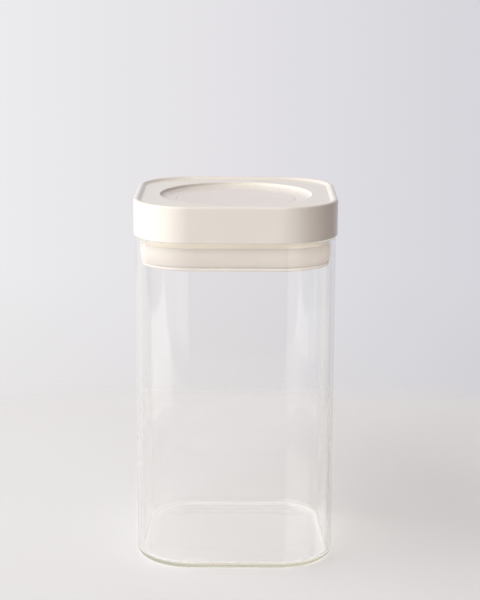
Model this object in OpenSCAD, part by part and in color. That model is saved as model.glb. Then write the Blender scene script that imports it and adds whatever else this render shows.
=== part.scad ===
// Square glass canister with a press-to-seal lid.
// Pressing the button down drives a cam plunger between four pushers, which spread the gasket
// against the inside of the mouth. Pressing it again lets the latch go and the button pops up.
// Origin at the centre of the base, +Z up, millimetres. The button is drawn on its lower stop.

/* [Jar] */
// Outside width of the square glass jar
jar_w = 98.3; // [90:0.1:120]
// Height of the glass jar, from the table to the top of its rim
jar_h = 164.2; // [80:0.1:260]
// Radius of the jar's upright corners, on the outside
jar_corner_r = 27.2; // [24:0.1:30]
// Thickness of the glass wall
jar_wall = 2.2; // [1.5:0.1:3.5]
// Thickness of the glass at the base
jar_base = 2.4; // [1.6:0.1:6]
// Radius of the heel, the outside edge at the base
jar_heel_r = 3.4; // [2:0.1:8]
// Radius of the fillet between the wall and the floor inside
jar_floor_r = 1.8; // [1:0.1:8]
// Height of the push-up under the base
jar_push_up = 0.4; // [0.2:0.1:1.2]
// Width over which the push-up rises, from the foot ring inwards
jar_push_up_run = 14; // [2:0.5:18]
// Width of the ring that the jar stands on
jar_foot_w = 4; // [3:0.1:12]

/* [Lid cover] */
// Height of the lid cover's side
lid_h = 17.5; // [16:0.1:26]
// How far the lid stands out beyond the glass on each side
lid_overhang = 0.85; // [0.3:0.05:2]
// Thickness of the lid cover's plastic
lid_wall = 2.2; // [1.6:0.1:2.6]
// Gap between the glass rim and the lid that sits on it
seat_gap = 0.3; // [0.1:0.05:0.6]
// Radius of the lid's upper outside edge
lid_edge_r = 1.2; // [0.4:0.1:1.6]
// Width of the flat land on top of the rim
rim_land = 2; // [1.7:0.1:3]
// Width of the slope inside the rim
rim_slope_w = 2.2; // [1:0.1:4]
// Depth of the deck below the rim
rim_drop = 1.1; // [0.4:0.1:2]
// Diameter of the finger well around the button, at the deck
well_d = 75.8; // [72:0.1:82]
// Depth of the finger well below the deck, at the button
well_depth = 2.4; // [2:0.1:4]
// Rise of the well's floor from the button to the well's wall
well_rise = 0.5; // [0.2:0.1:1]
// Radius of the fillet round the foot of the well's wall
well_fillet = 1.6; // [0.6:0.1:1.6]

/* [Button] */
// Diameter of the push button
button_d = 59.4; // [56:0.1:64]
// Gap round the button, in the lid cover's opening
button_gap = 0.3; // [0.2:0.05:0.5]
// Travel of the button, from its lower stop to popped up
button_travel = 8; // [6:0.1:9]
// Thickness of the button's top
button_top = 2.2; // [1.8:0.1:2.6]
// Thickness of the button's skirt
button_skirt = 1.8; // [1.2:0.1:2.2]
// Depth of the dish in the button's top
button_dish = 0.3; // [0.2:0.1:0.8]
// Width of the foot that stops the button in the lid cover's collar
button_foot = 1.6; // [1:0.1:2]
// Height of the button's foot
button_foot_h = 1.6; // [1:0.1:2.4]
// Height of the collar that guides the button, below the well's floor
collar_h = 3.4; // [2.4:0.1:3.8]
// Thickness of the collar and of the well's floor
collar_wall = 2; // [1.4:0.1:2.4]

/* [Plug] */
// Height of the plug's neck, between the lid and the gasket
neck_h = 3.2; // [2:0.1:5]
// Gap between the plug's neck and the inside of the glass
neck_gap = 1.35; // [0.8:0.05:2]
// Height of the gasket
gasket_h = 9.4; // [8.6:0.1:14]
// Thickness of the gasket's wall
gasket_wall = 1.7; // [1.3:0.1:2]
// Gap between the gasket at its fullest and the inside of the glass
gasket_gap = 0.3; // [0.2:0.05:0.6]
// How far the gasket bulges
gasket_bulge = 1.1; // [0.6:0.1:1.2]
// Thickness of the gasket's upper and lower lips
gasket_lip = 1.5; // [1.1:0.1:1.8]
// Width of the bead along each lip
bead_w = 1; // [0.8:0.1:1.2]
// Height of the bead along each lip
bead_h = 0.8; // [0.5:0.1:1]
// Thickness of the plug frame's walls
frame_wall = 2; // [1.6:0.1:2.2]
// Thickness of the plug frame's floor
frame_floor = 2; // [1.8:0.1:3]
// Thickness of the plug frame's flange, under the lid cover
flange_t = 2; // [1.6:0.1:3]
// Thickness of the cover that closes the plug from below
bottom_t = 1.6; // [1.4:0.1:2.4]
// Radius of the bottom cover's lower edge
bottom_edge_r = 0.8; // [0.3:0.1:1.2]
// Radius of the pins that hold the bottom cover
cover_pin_r = 1.6; // [1.2:0.1:2]

/* [Pushers] */
// Length of the shoe that presses on the gasket
shoe_l = 42; // [34:1:43]
// Thickness of the shoe
shoe_t = 2.4; // [2:0.1:2.6]
// Travel of each pusher while the button makes its whole travel
pusher_stroke = 1.6; // [0.8:0.1:1.8]
// Width of the slide between the shoe and the heel
slide_w = 16; // [12:0.5:18]
// Thickness of the slide
slide_t = 2.2; // [1.6:0.1:3]
// Width of the heel that the cam presses on
heel_w = 9; // [7:0.5:11]
// Height of the heel above the plug frame's floor
heel_h = 12; // [11:0.1:13]
// Thickness of the heel at its top
heel_t = 3; // [2:0.1:3.4]
// Sliding gap between the pushers and what guides them
slide_gap = 0.15; // [0.1:0.05:0.25]

/* [Cam plunger] */
// Distance of the cam's face from the axis, at the plug frame's floor
cam_r = 20; // [19:0.1:20.5]
// Width of each cam
cam_w = 6; // [4:0.5:8]
// Thickness of the cam plunger's plate
plate_t = 1.6; // [1.4:0.1:2.2]
// Distance between the plate and the button's top
plate_drop = 3; // [2.4:0.1:3.4]
// Width of the bar that carries the heart-shaped latch track
bar_w = 12; // [11:0.1:13]
// Thickness of the latch bar
bar_t = 3.2; // [2.8:0.1:3.6]
// Depth of the latch track
track_depth = 1.5; // [1.2:0.1:1.8]

/* [Latch] */
// Length of the latch pin, from its pivot to its tip
pin_l = 12; // [11.5:0.1:12.2]
// Diameter of the latch pin's wire
pin_d = 1.2; // [1:0.05:1.3]
// Height of the latch pin's pivot above the plug frame's floor
pin_pivot_h = 3; // [2.9:0.05:3.2]
// Swing of the latch pin to each side, in degrees
pin_swing = 14; // [13.5:0.1:14.5]
// Travel of the button past the latched height, down to its lower stop
over_press = 1.2; // [1:0.05:1.4]

/* [Return spring] */
// Mean radius of the spring's coil
spring_r = 11.4; // [11.2:0.05:12]
// Diameter of the spring's wire
spring_d = 1.2; // [0.8:0.05:1.4]
// Number of turns, with one dead turn at each end
spring_turns = 7; // [5:1:9]

/* [Screws] */
// Radius of the frame screws' shank
screw_r = 1.4; // [1.2:0.05:1.6]
// Radius of the frame screws' head
screw_head_r = 2.7; // [2.2:0.1:2.9]
// Height of the frame screws' head
screw_head_h = 1.8; // [1.2:0.1:2.2]
// Length of the frame screws under the head
screw_l = 16; // [13:0.5:18]
// Radius of the small screws' shank
small_screw_r = 0.9; // [0.7:0.05:1]
// Radius of the small screws' head
small_head_r = 1.5; // [1.2:0.1:1.7]
// Height of the small screws' head
small_head_h = 1; // [0.8:0.1:1.2]

/* [Hidden] */
$fn = 96;

white = [0.93, 0.91, 0.87];
milky = [0.95, 0.94, 0.91, 0.8];
steel = [0.72, 0.73, 0.75];
acetal = [0.86, 0.86, 0.84];
glass = [0.80, 0.88, 0.86, 0.3];

// Face-to-face and running clearances, and the overlap that cuts run past a face
fit = 0.05;
past = 1;

// Outlines: every upright corner turns about the same point, "corner" from both axes
corner = jar_w / 2 - jar_corner_r;
mouth = jar_w / 2 - jar_wall;
lid_half = jar_w / 2 + lid_overhang;
lid_in = lid_half - lid_wall;
neck_half = mouth - neck_gap;
seal_half = mouth - gasket_gap;
gasket_in = seal_half - gasket_wall;
shoe_out = gasket_in - slide_gap;
ring_out = shoe_out - shoe_t + slide_gap;
ring_in = ring_out - frame_wall;
bottom_half = seal_half - gasket_bulge / 2;

// Heights
lid_z = jar_h + seat_gap;
lid_top = lid_z + lid_h;
deck_z = lid_top - rim_drop;
deck_under = deck_z - lid_wall;
well_z = deck_z - well_depth;
flange_top = lid_z + flange_t;
neck_z = lid_z - neck_h;
gasket_z = neck_z - gasket_h;
bottom_z = gasket_z - bottom_t;
floor_z = gasket_z + frame_floor;
shoulder_t = bead_h + 1;
slide_z = floor_z + slide_gap;
shoe_top = neck_z - gasket_lip - 0.3;
plate_top = well_z - button_top - plate_drop;
plate_z = plate_top - plate_t;
foot_top = well_z - collar_h - button_travel - 0.4;
foot_z = foot_top - button_foot_h;

// Button and opening
button_r = button_d / 2;
opening_r = button_r + button_gap;
skirt_in = button_r - button_skirt;
well_r = well_d / 2;

// The cam's slope moves each pusher by its stroke over the button's travel
cam_slope = pusher_stroke / button_travel;
cam_gap = 0.1;
cam_z = floor_z + 0.3;
cam_in = 14;

// Places of the screws and of the bottom cover's pins
post_at = corner + 8.4;
post_r = screw_head_r + 1.1;
boss_at = 14.5;
boss_r = 2.6;
cover_pin_x = 19;
cover_pin_y = ring_in - 7.3;
seat_z = floor_z + 3.2;

// Latch track: where the pin's tip lies in the bar with the button on its lower stop
tip_r = pin_d / 2;
pivot_z = floor_z + pin_pivot_h;
tip_z = pivot_z + pin_l;
tip_side = pin_l * sin(pin_swing);
notch_z = tip_z - over_press - 1.3 * tip_r;
lobe_z = tip_z - tip_r - 0.3;
bar_face = -0.6;
arm_y = bar_face - tip_r - 0.3;
bracket_face = arm_y - tip_r - 0.4;
bracket_t = 2.4;
latch_screw_y = bracket_face - bracket_t - small_head_r - 0.1;
track_half = tip_side + tip_r + 0.45;
locating_r = spring_r - spring_d / 2 - 0.5;

// Points of an arc round c, from angle a0 to a1
function arc(c, r, a0, a1, n = 12) =
    [for (i = [0:n]) c + r * [cos(a0 + (a1 - a0) * i / n), sin(a0 + (a1 - a0) * i / n)]];

// Sweeps a profile round the rounded square. The profile's x is its distance outside the corner
// centres and its y is its height.
module swept() {
    for (turn = [0:90:270]) rotate(turn) {
        translate([corner, corner, 0]) rotate_extrude(angle = 90) children();
        translate([corner, corner, 0]) rotate([90, 0, 0]) linear_extrude(2 * corner) children();
    }
}

// Fills the square between the corner centres
module middle(z0, z1) {
    translate([-corner, -corner, z0]) cube([2 * corner, 2 * corner, z1 - z0]);
}

// Rectangle of a profile, given by its half width and height limits
module band(h0, h1, z0, z1) {
    translate([h0 - corner, z0]) square([h1 - h0, z1 - z0]);
}

// Solid plate of the rounded square
module plate(half, z0, z1) {
    swept() band(corner, half, z0, z1);
    middle(z0, z1);
}

// Upright cylinder between two heights
module post(r, z0, z1) {
    translate([0, 0, z0]) cylinder(r = r, h = z1 - z0);
}

module ring(r_in, r_out, z0, z1) {
    difference() {
        post(r_out, z0, z1);
        post(r_in, z0 - past, z1 + past);
    }
}

// Repeats its children at the four corners of a rectangle
module at_corners(x, y) {
    for (sx = [-1, 1], sy = [-1, 1]) translate([sx * x, sy * y, 0]) children();
}

// ---- Jar ----

module jar_outside() {
    heel = jar_w / 2 - jar_heel_r;
    rim_r = jar_wall / 2;
    band(corner, heel, 0, jar_h - rim_r);
    band(heel, jar_w / 2, jar_heel_r, jar_h - rim_r);
    translate([heel - corner, jar_heel_r]) circle(jar_heel_r);
    translate([mouth + rim_r - corner, jar_h - rim_r]) circle(rim_r);
}

module jar_inside() {
    floor_edge = mouth - jar_floor_r;
    band(corner, mouth, jar_base + jar_floor_r, jar_h);
    band(corner, floor_edge, jar_base, jar_base + jar_floor_r + past);
    translate([floor_edge - corner, jar_base + jar_floor_r]) circle(jar_floor_r);
}

module glass_jar() {
    foot_in = jar_w / 2 - jar_heel_r - jar_foot_w - corner;
    push_up_edge = max(foot_in - jar_push_up_run, 1);
    color(glass) union() {
        swept() difference() {
            jar_outside();
            jar_inside();
            polygon([[0, -past], [foot_in, -past], [foot_in, 0], [push_up_edge, jar_push_up],
                [0, jar_push_up]]);
        }
        middle(jar_push_up, jar_base);
    }
}

// ---- Lid cover ----

module cover_side() {
    slope_out = lid_half - rim_land;
    slope_in = slope_out - rim_slope_w;
    difference() {
        union() {
            band(corner, lid_half - lid_edge_r, lid_z, lid_top);
            band(corner, lid_half, lid_z, lid_top - lid_edge_r);
            translate([lid_half - lid_edge_r - corner, lid_top - lid_edge_r]) circle(lid_edge_r);
        }
        band(corner - past, lid_in, lid_z - past, deck_under);
        polygon([[-past, deck_z], [slope_in - corner, deck_z], [slope_out - corner, lid_top],
            [slope_out - corner, lid_top + past], [-past, lid_top + past]]);
    }
}

// The finger well, cut from the deck: a steep wall, a fillet at its foot and a sloping floor
module well_cut() {
    foot_r = well_r - (well_depth - well_rise) * 0.25;
    rotate_extrude() polygon(concat(
        [[0, well_z], [opening_r, well_z]],
        arc([foot_r - well_fillet, well_z + well_rise + well_fillet], well_fillet, -84, -8, 8),
        [[well_r, deck_z - 0.35], [well_r + 0.4, deck_z], [well_r + 0.4, deck_z + past],
            [0, deck_z + past]]));
}

module lid_cover() {
    rib_h = 3.5;
    color(white) difference() {
        union() {
            swept() cover_side();
            middle(deck_under, deck_z);
            post(well_r + collar_wall, well_z - collar_wall, deck_under + fit);
            post(opening_r + collar_wall, well_z - collar_h, well_z);
            at_corners(post_at, post_at) post(post_r - 0.2, flange_top, deck_under + fit);
            for (turn = [0:90:270]) rotate(turn) {
                translate([well_r, -0.6, deck_under - rib_h])
                    cube([lid_in - well_r + fit, 1.2, rib_h + fit]);
            }
        }
        well_cut();
        post(opening_r, well_z - collar_h - past, well_z + past);
        at_corners(post_at, post_at) post(screw_r + fit, flange_top - past, seat_z + screw_l + 0.8);
    }
}

// ---- Button ----

module push_button() {
    edge = 0.5;
    dish_r = button_r - 1.8;
    color(white) difference() {
        union() {
            rotate_extrude() polygon(concat(
                [[0, well_z - button_top], [skirt_in, well_z - button_top], [skirt_in, foot_z],
                    [opening_r + button_foot, foot_z], [opening_r + button_foot, foot_top],
                    [button_r, foot_top]],
                arc([button_r - edge, well_z - edge], edge, 0, 90, 6),
                [for (i = [0:8]) [dish_r * (1 - i / 8), well_z - button_dish * (1 - pow(1 - i / 8, 2))]]));
            at_corners(boss_at, boss_at) post(boss_r, plate_top, well_z - button_top + fit);
        }
        at_corners(boss_at, boss_at) post(small_screw_r + fit, plate_top - past, plate_top + plate_drop);
    }
}

// ---- Cam plunger ----

// Face of the cam at height z: it leans outward going up
function cam_face(z) = cam_r + cam_slope * (z - floor_z);

module cam() {
    rotate([90, 0, 0]) translate([0, 0, -cam_w / 2]) linear_extrude(cam_w)
        polygon([[cam_in, cam_z], [cam_face(cam_z), cam_z], [cam_face(plate_z + fit), plate_z + fit],
            [cam_in, plate_z + fit]]);
}

// Heart-shaped island: two lobes round a notch that catches the pin's tip, and a point below
module heart() {
    lobe_x = 1.25;
    lobe_r = 0.5;
    point_z = notch_z - 4.6;
    polygon([[0, notch_z], [lobe_x - lobe_r * 0.7, lobe_z - lobe_r * 0.3],
        [lobe_x + lobe_r, lobe_z - lobe_r],
        [lobe_x + lobe_r, lobe_z - 1.3], [0.4, point_z], [-0.4, point_z], [-lobe_x - lobe_r, lobe_z - 1.3],
        [-lobe_x - lobe_r, lobe_z - lobe_r], [-lobe_x + lobe_r * 0.7, lobe_z - lobe_r * 0.3]]);
    for (side = [-1, 1]) translate([side * lobe_x, lobe_z - lobe_r]) circle(lobe_r, $fn = 24);
}

module latch_bar() {
    track_z0 = pivot_z + pin_l * cos(pin_swing) - button_travel - tip_r - 0.4;
    track_z1 = tip_z + tip_r + 0.4;
    difference() {
        translate([-bar_w / 2, bar_face, cam_z]) cube([bar_w, bar_t, plate_z + fit - cam_z]);
        translate([-track_half, bar_face - past, track_z0])
            cube([2 * track_half, past + track_depth, track_z1 - track_z0]);
    }
    translate([0, bar_face + track_depth + fit, 0]) rotate([90, 0, 0])
        linear_extrude(track_depth + fit) heart();
}

module cam_plunger() {
    color(acetal) difference() {
        union() {
            post(skirt_in - 0.5, plate_z, plate_top);
            ring(locating_r - 1.2, locating_r, plate_z - 2.4, plate_z + fit);
            for (turn = [0:90:270]) rotate(turn) cam();
            latch_bar();
        }
        at_corners(boss_at, boss_at) post(small_screw_r + 0.2, plate_z - past, plate_top + past);
    }
}

// ---- Plug frame ----

module groove() {
    bead_at = gasket_in - bead_w - 0.2;
    band(bead_at - fit, bead_at + bead_w + fit, neck_z - past, neck_z + bead_h + fit);
}

module frame_walls() {
    difference() {
        union() {
            band(neck_half - frame_wall, neck_half, neck_z, flange_top);
            band(neck_half - frame_wall, lid_in - 0.2, lid_z, flange_top);
            band(ring_in, neck_half, neck_z, neck_z + shoulder_t);
            band(ring_in, ring_out, gasket_z, neck_z + shoulder_t);
        }
        groove();
    }
}

module rails() {
    rail_y = slide_w / 2 + slide_gap + 0.75;
    for (side = [-1, 1]) translate([cam_r + heel_t + 2, side * rail_y - 0.75, floor_z - fit])
        cube([ring_in - cam_r - heel_t - 4, 1.5, slide_t + 1.2 + fit]);
}

module plug_frame() {
    window_l = shoe_l + 1;
    color(white) difference() {
        union() {
            swept() frame_walls();
            plate(ring_in + fit, gasket_z, floor_z);
            at_corners(post_at, post_at) post(post_r, gasket_z, flange_top);
            at_corners(cover_pin_x, cover_pin_y) post(cover_pin_r + 1.6, gasket_z, floor_z + 4);
            ring(locating_r - 1.2, locating_r, floor_z - fit, floor_z + 2);
            for (turn = [0:90:270]) rotate(turn) rails();
        }
        for (turn = [0:90:270]) rotate(turn) translate([ring_in - 0.3, -window_l / 2, floor_z])
            cube([frame_wall + 3, window_l, neck_z - floor_z]);
        at_corners(post_at, post_at) {
            post(screw_head_r + 0.2, gasket_z - past, seat_z);
            post(screw_r + 0.25, gasket_z - past, flange_top + past);
        }
        at_corners(cover_pin_x, cover_pin_y) post(cover_pin_r + fit, gasket_z - past, floor_z + 2.8);
        translate([0, latch_screw_y, 0]) post(small_screw_r + fit, floor_z - 1.4, floor_z + past);
    }
}

// ---- Bottom cover ----

module cover_edge() {
    bead_at = gasket_in - bead_w - 0.2;
    difference() {
        union() {
            band(corner, bottom_half - bottom_edge_r, bottom_z, gasket_z);
            band(corner, bottom_half, bottom_z + bottom_edge_r, gasket_z);
            translate([bottom_half - bottom_edge_r - corner, bottom_z + bottom_edge_r])
                circle(bottom_edge_r);
        }
        band(bead_at - fit, bead_at + bead_w + fit, gasket_z - bead_h - fit, gasket_z + past);
    }
}

module bottom_cover() {
    color(white) {
        swept() cover_edge();
        middle(bottom_z, gasket_z);
        at_corners(cover_pin_x, cover_pin_y) post(cover_pin_r, gasket_z - fit, floor_z + 2.5);
    }
}

// ---- Gasket ----

module gasket_profile() {
    bead_at = gasket_in - bead_w - 0.2;
    bulge_r = (pow(gasket_h / 2, 2) + pow(gasket_bulge, 2)) / (2 * gasket_bulge);
    mid_z = gasket_z + gasket_h / 2;
    intersection() {
        translate([seal_half - bulge_r - corner, mid_z]) circle(bulge_r, $fn = 192);
        union() {
            band(gasket_in, seal_half + past, gasket_z, neck_z);
            band(ring_out + 0.1, gasket_in + fit, gasket_z, gasket_z + gasket_lip);
            band(ring_out + 0.1, gasket_in + fit, neck_z - gasket_lip, neck_z);
        }
    }
    band(bead_at, bead_at + bead_w, neck_z - fit, neck_z + bead_h);
    band(bead_at, bead_at + bead_w, gasket_z - bead_h, gasket_z + fit);
}

module gasket() {
    color(milky) swept() gasket_profile();
}

// ---- Pushers ----

// Side view of the slide and heel: the heel's inner face lies along the cam's face
module pusher_side() {
    heel_out = cam_face(floor_z + heel_h) + cam_gap + heel_t;
    polygon([[cam_face(slide_z) + cam_gap, slide_z], [shoe_out - shoe_t + fit, slide_z],
        [shoe_out - shoe_t + fit, slide_z + slide_t], [heel_out + 4, slide_z + slide_t],
        [heel_out, floor_z + heel_h - 3], [heel_out, floor_z + heel_h],
        [cam_face(floor_z + heel_h) + cam_gap, floor_z + heel_h]]);
}

module pusher() {
    shoe_r = 1;
    color(acetal) {
        rotate([90, 0, 0]) translate([0, 0, -heel_w / 2]) linear_extrude(heel_w) pusher_side();
        translate([cam_r + heel_t + 1, -slide_w / 2, slide_z])
            cube([shoe_out - shoe_t + fit - cam_r - heel_t - 1, slide_w, slide_t]);
        translate([shoe_out - shoe_t, -shoe_l / 2 + shoe_r, slide_z])
            cube([shoe_t, shoe_l - 2 * shoe_r, shoe_top - slide_z]);
        for (side = [-1, 1]) translate([shoe_out - shoe_r, side * (shoe_l / 2 - shoe_r), 0])
            post(shoe_r, slide_z, shoe_top);
        translate([shoe_out - shoe_t, -shoe_l / 2, slide_z])
            cube([shoe_t - shoe_r, shoe_l, shoe_top - slide_z]);
    }
}

module pusher_front() { rotate(-90) pusher(); }
module pusher_right() { pusher(); }
module pusher_back() { rotate(90) pusher(); }
module pusher_left() { rotate(180) pusher(); }

// ---- Return spring ----

spring_z0 = floor_z + fit + spring_d / 2;
spring_z1 = plate_z - fit - spring_d / 2;
spring_steps = 24;
spring_sides = 8;

// Height of the wire's centre after t turns: the end turns lie flat against their seats
function coil_z(t) = let (live = spring_turns - 2, dead = spring_d / (spring_z1 - spring_z0),
        s = t < 1 ? dead * t : t > spring_turns - 1 ? 1 - dead * (spring_turns - t)
            : dead + (1 - 2 * dead) * (t - 1) / live)
    spring_z0 + (spring_z1 - spring_z0) * s;

function coil_point(t, side) = let (a = 360 * t, b = 360 * side / spring_sides,
        r = spring_r + spring_d / 2 * cos(b))
    [r * cos(a), r * sin(a), coil_z(t) + spring_d / 2 * sin(b)];

module return_spring() {
    rings = spring_turns * spring_steps;
    points = [for (i = [0:rings], k = [0:spring_sides - 1]) coil_point(i / spring_steps, k)];
    sides = [for (i = [0:rings - 1], k = [0:spring_sides - 1]) let (n = (k + 1) % spring_sides)
        [i * spring_sides + k, i * spring_sides + n,
            (i + 1) * spring_sides + n, (i + 1) * spring_sides + k]];
    ends = [[for (k = [spring_sides - 1:-1:0]) k],
        [for (k = [0:spring_sides - 1]) rings * spring_sides + k]];
    color(steel) polyhedron(points, concat(sides, ends), convexity = 10);
}

// ---- Latch ----

// Wire bent twice: the upper end reaches back into the track and the lower end turns in the bracket
module latch_pin() {
    peg_back = bar_face + track_depth - 0.3;
    peg_front = bracket_face - bracket_t + 0.7;
    color(steel) translate([0, 0, pivot_z]) rotate([0, pin_swing, 0]) {
        translate([0, arm_y, 0]) {
            post(tip_r, 0, pin_l);
            sphere(tip_r);
        }
        translate([0, arm_y, pin_l]) sphere(tip_r);
        translate([0, peg_back, pin_l]) rotate([90, 0, 0]) cylinder(r = tip_r, h = peg_back - arm_y);
        translate([0, arm_y, 0]) rotate([90, 0, 0]) cylinder(r = tip_r, h = arm_y - peg_front);
    }
}

module latch_bracket() {
    ear_r = 2.4;
    foot_y = latch_screw_y - small_head_r - 0.2;
    color(acetal) difference() {
        union() {
            translate([-ear_r, bracket_face - bracket_t, floor_z])
                cube([2 * ear_r, bracket_t, pin_pivot_h]);
            translate([0, bracket_face, pivot_z]) rotate([90, 0, 0]) cylinder(r = ear_r, h = bracket_t);
            translate([-ear_r, foot_y, floor_z]) cube([2 * ear_r, bracket_face - foot_y, 1.5]);
        }
        translate([0, bracket_face + past, pivot_z]) rotate([90, 0, 0])
            cylinder(r = tip_r + fit, h = bracket_t + past - 0.5);
        translate([0, latch_screw_y, 0]) post(small_screw_r + 0.1, floor_z - past, floor_z + 1.5 + past);
    }
}

// ---- Screws ----

// Pan-head screw pointing up from z, with a slot across its head
module screw(r, l, head_r, head_h, z) {
    difference() {
        union() {
            post(r, z - fit, z + l);
            post(head_r, z - head_h, z);
        }
        translate([-0.3, -head_r - past, z - head_h - past])
            cube([0.6, 2 * head_r + 2 * past, past + head_h * 0.4]);
        translate([-head_r - past, -0.3, z - head_h - past])
            cube([2 * head_r + 2 * past, 0.6, past + head_h * 0.4]);
    }
}

module frame_screws() {
    color(steel) at_corners(post_at, post_at) screw(screw_r, screw_l, screw_head_r, screw_head_h, seat_z);
}

module button_screws() {
    color(steel) at_corners(boss_at, boss_at)
        screw(small_screw_r, plate_t + plate_drop - 0.6, small_head_r, small_head_h, plate_z);
}

module latch_screw() {
    color(steel) translate([0, latch_screw_y, 2 * floor_z + 3]) mirror([0, 0, 1])
        screw(small_screw_r, 2.7, small_head_r, small_head_h, floor_z + 1.5);
}

glass_jar();
lid_cover();
push_button();
cam_plunger();
plug_frame();
bottom_cover();
gasket();
pusher_front();
pusher_right();
pusher_back();
pusher_left();
return_spring();
latch_pin();
latch_bracket();
latch_screw();
frame_screws();
button_screws();
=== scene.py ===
import math

import bmesh
import bpy
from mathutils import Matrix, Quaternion, Vector


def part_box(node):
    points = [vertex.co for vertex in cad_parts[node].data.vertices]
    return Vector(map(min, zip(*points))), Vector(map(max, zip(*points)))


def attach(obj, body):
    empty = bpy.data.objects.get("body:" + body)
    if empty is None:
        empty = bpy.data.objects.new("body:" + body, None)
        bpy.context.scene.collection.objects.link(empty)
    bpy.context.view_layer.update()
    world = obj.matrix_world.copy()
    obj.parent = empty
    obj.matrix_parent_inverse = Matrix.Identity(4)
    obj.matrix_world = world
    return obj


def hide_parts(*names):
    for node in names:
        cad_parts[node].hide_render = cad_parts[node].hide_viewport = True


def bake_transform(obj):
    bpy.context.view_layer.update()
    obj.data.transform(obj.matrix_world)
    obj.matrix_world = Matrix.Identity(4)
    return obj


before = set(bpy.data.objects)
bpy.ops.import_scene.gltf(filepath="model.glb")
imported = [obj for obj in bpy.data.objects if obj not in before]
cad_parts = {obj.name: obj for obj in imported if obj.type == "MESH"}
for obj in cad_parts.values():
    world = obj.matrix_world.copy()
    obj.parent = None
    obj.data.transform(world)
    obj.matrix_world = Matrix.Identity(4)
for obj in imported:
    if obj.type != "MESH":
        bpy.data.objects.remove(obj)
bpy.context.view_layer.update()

mm = 0.001
tiny = 0.05 * mm    # a turned shape closes on a ring this small at each end


# small helpers

def linear(red, green, blue):
    # colours are written as they look on screen, 0 to 255, and stored as linear light
    def one(value):
        value /= 255
        return value / 12.92 if value <= 0.04045 else ((value + 0.055) / 1.055) ** 2.4
    return (one(red), one(green), one(blue), 1.0)


def setSockets(node, values):
    for name, value in values.items():
        node.inputs[name].default_value = value


def newMaterial(name):
    material = bpy.data.materials.new(name)
    material.use_nodes = True
    nodes, links = material.node_tree.nodes, material.node_tree.links
    nodes.clear()
    output = nodes.new("ShaderNodeOutputMaterial")
    shader = nodes.new("ShaderNodeBsdfPrincipled")
    links.new(shader.outputs["BSDF"], output.inputs["Surface"])
    return material, nodes, links, shader, output


def mixShaders(nodes, links, factor, first, second, output):
    mix = nodes.new("ShaderNodeMixShader")
    links.new(factor, mix.inputs["Fac"])
    links.new(first, mix.inputs[1])
    links.new(second, mix.inputs[2])
    links.new(mix.outputs["Shader"], output.inputs["Surface"])


def addMath(nodes, links, operation, *values):
    node = nodes.new("ShaderNodeMath")
    node.operation = operation
    for socket, value in zip(node.inputs, values):
        if isinstance(value, bpy.types.NodeSocket):
            links.new(value, socket)
        else:
            socket.default_value = value
    return node.outputs[0]


def mapRange(nodes, links, value, fromMin, fromMax, toMin=0.0, toMax=1.0, smooth=False):
    node = nodes.new("ShaderNodeMapRange")
    node.interpolation_type = "SMOOTHSTEP" if smooth else "LINEAR"
    setSockets(node, {"From Min": fromMin, "From Max": fromMax, "To Min": toMin, "To Max": toMax})
    links.new(value, node.inputs["Value"])
    return node.outputs["Result"]


def mixColour(nodes, links, factor, first, second):
    node = nodes.new("ShaderNodeMix")
    node.data_type = "RGBA"
    for name, value in (("Factor", factor), ("A", first), ("B", second)):
        if isinstance(value, bpy.types.NodeSocket):
            links.new(value, node.inputs[name])
        else:
            node.inputs[name].default_value = value
    return node.outputs["Result"]


def groupNode(nodes, tree, values):
    node = nodes.new("ShaderNodeGroup")
    node.node_tree = tree
    setSockets(node, values)
    return node


def newPiece(name, mesh, material, slotName, *replaced):
    piece = bpy.data.objects.new(name, mesh)
    bpy.context.scene.collection.objects.link(piece)
    mesh.materials.clear()
    mesh.materials.append(material)
    if replaced:
        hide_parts(*replaced)
    return piece


def addPiece(name, mesh, material, body, slotName, *replaced):
    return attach(newPiece(name, mesh, material, slotName, *replaced), body)


def smoothMesh(mesh, sharpAngle=35):
    mesh.polygons.foreach_set("use_smooth", [True] * len(mesh.polygons))
    mesh.set_sharp_from_angle(angle=math.radians(sharpAngle))
    mesh.update()


def filleted(corners, support=0.1 * mm, turnStep=11):
    # corners are (x, z, radius); each radius becomes an arc, with a close point on either side of it
    # that keeps the shading of the flat beside it level
    path = []
    for index, (x, z, radius) in enumerate(corners):
        here = Vector((x, z))
        if radius == 0 or index in (0, len(corners) - 1):
            path.append((x, z))
            continue
        before = (Vector(corners[index - 1][:2]) - here).normalized()
        after = (Vector(corners[index + 1][:2]) - here).normalized()
        halfAngle = before.angle(after) / 2
        reach = radius / math.tan(halfAngle)
        centre = here + (before + after).normalized() * (radius / math.sin(halfAngle))
        start, end = here + before * reach - centre, here + after * reach - centre
        turn = start.angle_signed(end)
        steps = max(2, round(abs(math.degrees(turn)) / turnStep))
        path.append(tuple(centre + start + before * support))
        for step in range(steps + 1):
            angle = -turn * step / steps
            path.append((centre.x + start.x * math.cos(angle) - start.y * math.sin(angle),
                         centre.y + start.x * math.sin(angle) + start.y * math.cos(angle)))
        path.append(tuple(centre + end + after * support))
    return path


# shared shader groups

def makeGroup(name, inputs, outputs):
    tree = bpy.data.node_groups.new(name, "ShaderNodeTree")
    for label, default in inputs.items():
        socket = tree.interface.new_socket(label, in_out="INPUT", socket_type="NodeSocketFloat")
        socket.default_value = default
    for label, kind in outputs.items():
        tree.interface.new_socket(label, in_out="OUTPUT", socket_type="NodeSocket" + kind)
    return tree, tree.nodes.new("NodeGroupInput"), tree.nodes.new("NodeGroupOutput")


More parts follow.
